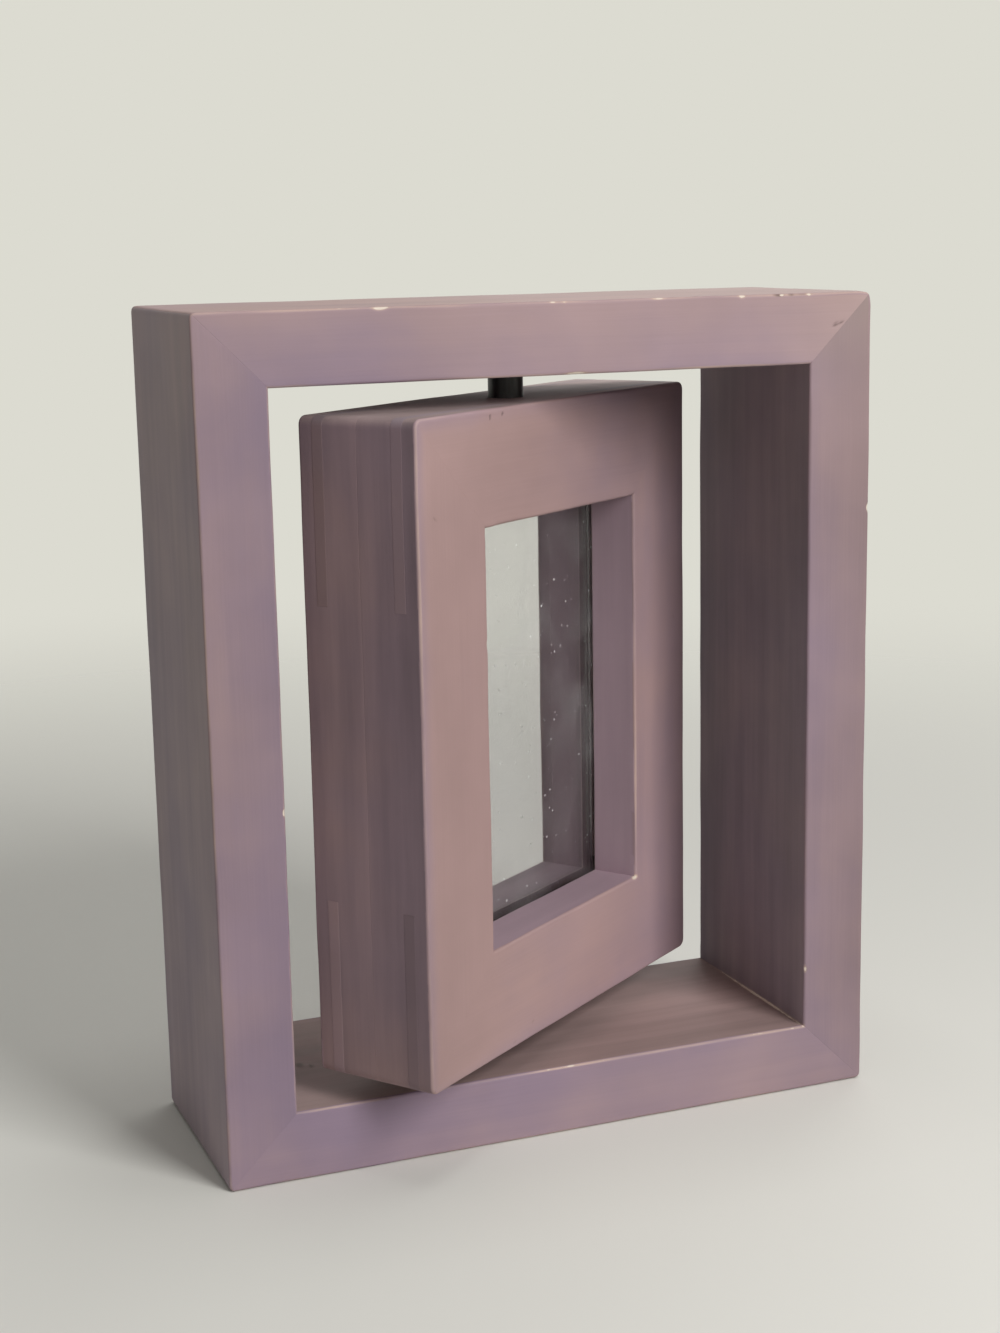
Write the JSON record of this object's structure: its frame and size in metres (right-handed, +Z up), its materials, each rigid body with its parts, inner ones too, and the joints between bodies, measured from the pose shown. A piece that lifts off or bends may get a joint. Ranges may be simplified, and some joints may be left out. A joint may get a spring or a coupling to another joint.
{
  "type": "swivel photo frame",
  "caption": "Mitred wooden stand with a glazed picture frame swivelling inside it on dowels, so that either side faces the room; panes slide out of a slot in its edge.",
  "frame": {"origin": "middle of the outer frame's underside, where it stands, under the swivel's axis", "axes": "+Z up along the swivel axis, +X along the front to the right, +Y to the back"},
  "size_m": [0.197, 0.1126, 0.236],
  "materials": {
    "outer_paint": "mauve paint brushed over wood, satin, worn pale at the edges",
    "inner_paint": "dusty pink mauve paint brushed over wood, satin, worn pale at the edges",
    "black_dowel": "blackened, satin",
    "bare_beech": "pressed, bare",
    "clear_glass": "clear float glass, seamed edges"
  },
  "bodies": {
    "outer_frame": {"outer_top_rail": "outer_paint", "outer_bottom_rail": "outer_paint", "outer_left_stile": "outer_paint", "outer_right_stile": "outer_paint", "outer_biscuit_top_left": "bare_beech", "outer_biscuit_top_right": "bare_beech", "outer_biscuit_bottom_left": "bare_beech", "outer_biscuit_bottom_right": "bare_beech", "pivot_dowel_top": "black_dowel", "pivot_dowel_bottom": "black_dowel"},
    "inner_frame": {"inner_front_top_rail": "inner_paint", "inner_front_bottom_rail": "inner_paint", "inner_front_left_stile": "inner_paint", "inner_front_right_stile": "inner_paint", "inner_back_top_rail": "inner_paint", "inner_back_bottom_rail": "inner_paint", "inner_back_left_stile": "inner_paint", "inner_back_right_stile": "inner_paint", "inner_front_key_top_left": "inner_paint", "inner_front_key_top_right": "inner_paint", "inner_front_key_bottom_left": "inner_paint", "inner_front_key_bottom_right": "inner_paint", "inner_back_key_top_left": "inner_paint", "inner_back_key_top_right": "inner_paint", "inner_back_key_bottom_left": "inner_paint", "inner_back_key_bottom_right": "inner_paint"},
    "front_pane": {"glass_front": "clear_glass"},
    "back_pane": {"glass_back": "clear_glass"}
  },
  "joints": [
    {"name": "swivel", "type": "hinge", "parent": "outer_frame", "child": "inner_frame", "pos_m": [0, 0, 0.118], "axis": [0, 0, 1], "continuous": true},
    {"name": "front_pane_slide", "type": "slide", "parent": "inner_frame", "child": "front_pane", "axis": [0.8121, 0.5835, 0], "range_m": [0, 0.117]},
    {"name": "back_pane_slide", "type": "slide", "parent": "inner_frame", "child": "back_pane", "axis": [0.8121, 0.5835, 0], "range_m": [0, 0.117]}
  ]
}
